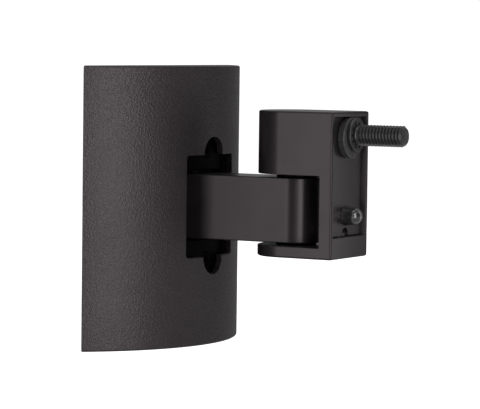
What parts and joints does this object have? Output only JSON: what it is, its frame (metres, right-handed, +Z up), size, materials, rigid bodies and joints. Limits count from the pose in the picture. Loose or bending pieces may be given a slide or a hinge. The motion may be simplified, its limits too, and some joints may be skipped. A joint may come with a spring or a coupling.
{
  "type": "speaker wall bracket",
  "caption": "Small black wall bracket for a speaker: a curved cover over a wall plate, a swivelling arm, and a swivelling head with a speaker screw and a locating pin.",
  "frame": {"origin": "middle of the wall face, level with the middle plane of the arm", "axes": "+X out of the wall along the arm and the speaker screw, +Z up, +Y completes the right-handed frame"},
  "size_m": [0.0799, 0.08, 0.08],
  "materials": {
    "cover_plastic": "near-black moulded plastic with a fine leather-like grain",
    "cast_paint": "near-black satin paint on a metal casting",
    "insert_paint": "near-black satin paint on sheet steel",
    "plate_steel": "zinc-plated pressed steel",
    "black_steel": "black oxide on turned steel, slightly oily",
    "bush_nylon": "black nylon",
    "pin_nylon": "glossy black moulded nylon"
  },
  "bodies": {
    "wall": {"wall_cover": "cover_plastic", "wall_plate": "plate_steel", "pivot_block": "cast_paint", "block_screws": "black_steel", "lock_screws": "black_steel", "wall_upper_washer": "bush_nylon", "wall_lower_washer": "bush_nylon"},
    "arm": {"arm": "cast_paint", "wall_pivot_pin": "black_steel", "head_upper_bush": "bush_nylon", "head_lower_bush": "bush_nylon"},
    "head": {"head_housing": "cast_paint", "head_pivot_screw": "black_steel", "front_insert": "insert_paint", "stud_spacer": "black_steel", "spring_washer": "black_steel", "locating_pin": "pin_nylon", "pin_nut": "black_steel"},
    "screw": {"speaker_screw": "black_steel", "tooth_ring": "black_steel"}
  },
  "joints": [
    {"name": "arm_swivel", "type": "hinge", "parent": "wall", "child": "arm", "pos_m": [0.0112, 0, 0], "axis": [0, 0, 1], "range_deg": [-30, 30]},
    {"name": "head_swivel", "type": "hinge", "parent": "arm", "child": "head", "pos_m": [0.0461, 0, 0], "axis": [0, 0, 1], "range_deg": [-90, 90]},
    {"name": "screw_turn", "type": "hinge", "parent": "head", "child": "screw", "pos_m": [0.0723, 0, 0.0215], "axis": [1, 0, 0], "continuous": true}
  ]
}
